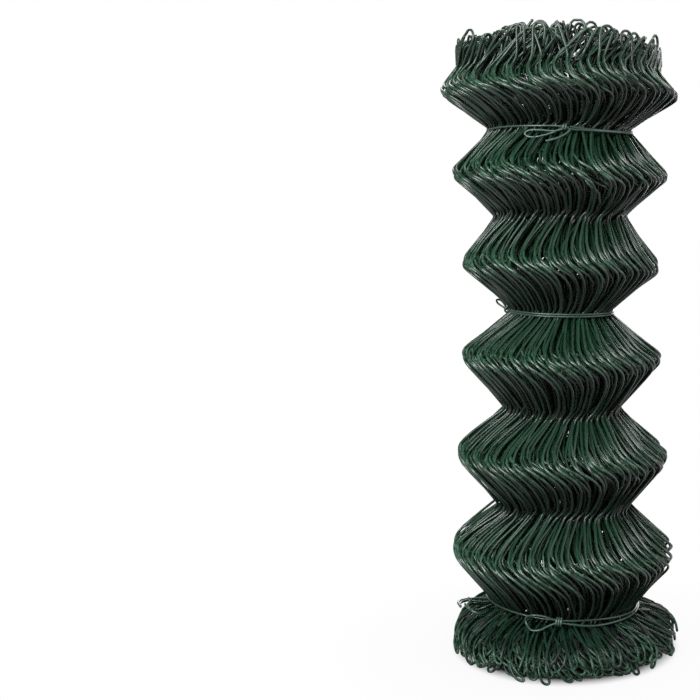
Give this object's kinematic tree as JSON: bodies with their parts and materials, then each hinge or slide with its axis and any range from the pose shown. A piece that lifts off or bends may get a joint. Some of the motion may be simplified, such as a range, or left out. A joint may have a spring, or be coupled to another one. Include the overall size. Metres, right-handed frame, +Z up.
{
  "type": "roll of chain-link fencing",
  "caption": "Compact roll of green plastic-coated chain-link fencing, folded shut into a bellows and wound round a hollow middle, held by tie wires in its grooves and standing on one end.",
  "frame": {"origin": "on the floor, on the axis of the roll", "axes": "+Z up along the axis of the roll, -Y towards the side with the knots of the top and bottom ties"},
  "size_m": [0.298, 0.298, 0.78],
  "materials": {
    "coated_mesh": "satin green plastic coat over steel wire",
    "tie_wire": "satin green plastic coat over soft steel wire"
  },
  "bodies": {
    "root": {"mesh_roll": "coated_mesh", "tie_wire_top": "tie_wire", "tie_wire_middle": "tie_wire", "tie_wire_bottom": "tie_wire"}
  },
  "joints": []
}
